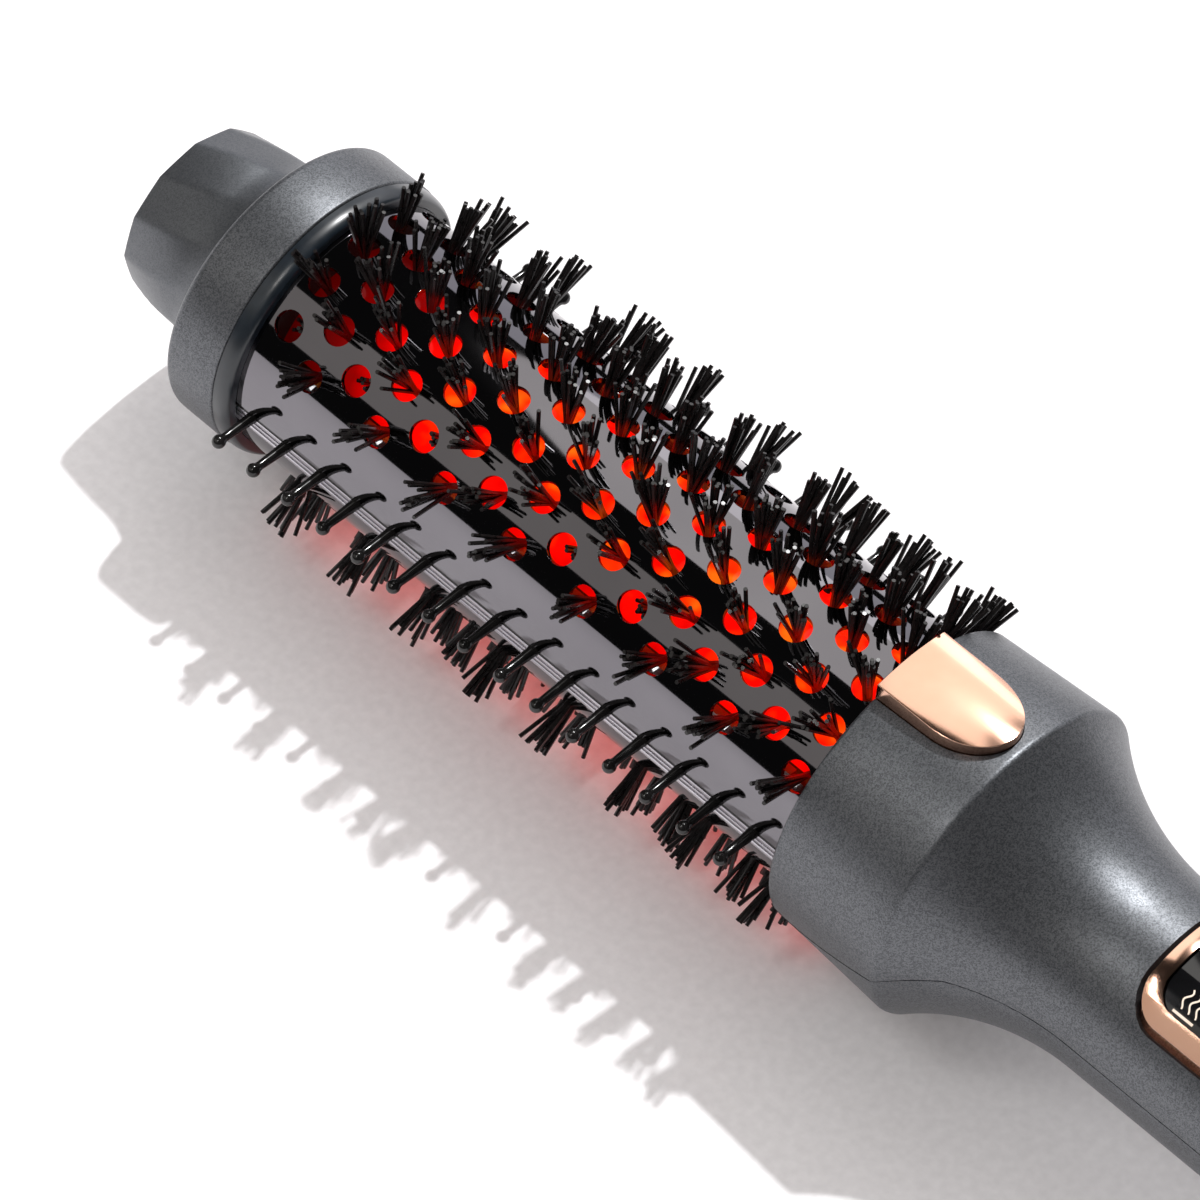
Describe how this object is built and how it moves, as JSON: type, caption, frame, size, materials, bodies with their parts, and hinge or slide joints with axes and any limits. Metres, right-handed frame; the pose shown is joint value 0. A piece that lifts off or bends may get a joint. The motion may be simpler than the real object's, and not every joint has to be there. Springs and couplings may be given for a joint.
{
  "type": "heated round brush",
  "caption": "Heated round hair brush: vented barrel with bristle tufts and ball pins, cool tip, flared collar and a grip with panel buttons and swivelling cord gland.",
  "frame": {"origin": "centre of the bounding box in X and Y, at the height of the flat that the lowest bristles rest on", "axes": "+X along the barrel towards the tip, +Z towards the side with the panel, +Y towards the side whose pins the picture shows"},
  "size_m": [0.3204, 0.0518, 0.0525],
  "materials": {
    "graphite_paint": "soft-touch graphite paint with fine flake",
    "tip_plastic": "smooth satin graphite",
    "dark_rim": "satin blue-black",
    "barrel_coating": "mirror gloss black coating on aluminium",
    "rail_metal": "satin, two fine grooves",
    "pin_plastic": "glossy black",
    "bristle_nylon": "glossy black strands on red-lit carriers",
    "heat_plastic": "moulded heat-proof plastic",
    "aluminium": "extruded",
    "heater_film": "amber film round a ceramic heater",
    "circuit_board": "green circuit board",
    "lamp_red": "lit red lamp",
    "electronic_parts": "moulded component cases",
    "wire": "silicone insulation",
    "steel": "zinc plated",
    "contact_brass": "bright",
    "rose_gold": "mirror rose gold plating",
    "panel_black": "black gloss lens",
    "button_black": "satin black button",
    "gland_rubber": "matte black"
  },
  "bodies": {
    "body": {"tip_cap": "tip_plastic", "tip_ring": "graphite_paint", "tip_rim": "dark_rim", "tip_hub": "heat_plastic", "tip_screw": "steel", "barrel_upper_shell": "barrel_coating", "barrel_lower_shell": "barrel_coating", "side_rail_left": "rail_metal", "side_rail_right": "rail_metal", "pin_strip_left": "pin_plastic", "pin_strip_right": "pin_plastic", "bristles_upper_left": "bristle_nylon", "bristles_upper_middle": "bristle_nylon", "bristles_upper_right": "bristle_nylon", "bristles_lower_left": "bristle_nylon", "bristles_lower_middle": "bristle_nylon", "bristles_lower_right": "bristle_nylon", "lamp_board": "circuit_board", "lamps": "lamp_red", "heat_bar_left": "aluminium", "heat_bar_right": "aluminium", "heater_left": "heater_film", "heater_right": "heater_film", "thermistor": "electronic_parts", "thermal_fuse": "electronic_parts", "barrel_seat": "heat_plastic", "heater_leads": "wire", "ion_module": "electronic_parts", "ion_needle": "steel", "ion_lead": "wire", "ion_hood": "rose_gold", "handle_upper_shell": "graphite_paint", "handle_lower_shell": "graphite_paint", "handle_screws": "steel", "panel_carrier": "heat_plastic", "panel_bezel": "rose_gold", "panel_lens": "panel_black", "display_module": "electronic_parts", "control_board": "circuit_board", "button_switches": "electronic_parts", "power_board": "circuit_board", "power_parts": "electronic_parts", "ribbon_cable": "wire", "swivel_plate": "heat_plastic", "swivel_contacts": "contact_brass", "swivel_bush": "heat_plastic"},
    "power_key": {"power_button": "rose_gold"},
    "plus_key": {"plus_button": "button_black"},
    "minus_key": {"minus_button": "button_black"},
    "gland": {"swivel_gland": "gland_rubber"}
  },
  "joints": [
    {"name": "power_press", "type": "slide", "parent": "body", "child": "power_key", "axis": [0, 0, -1], "range_m": [0, 0.0004], "stiffness_N_per_m": 3000},
    {"name": "plus_press", "type": "slide", "parent": "body", "child": "plus_key", "axis": [0, 0, -1], "range_m": [0, 0.0004], "stiffness_N_per_m": 3000},
    {"name": "minus_press", "type": "slide", "parent": "body", "child": "minus_key", "axis": [0, 0, -1], "range_m": [0, 0.0004], "stiffness_N_per_m": 3000},
    {"name": "cord_swivel", "type": "hinge", "parent": "body", "child": "gland", "pos_m": [-0.15, 0, 0.026], "axis": [-1, 0, 0], "continuous": true}
  ]
}
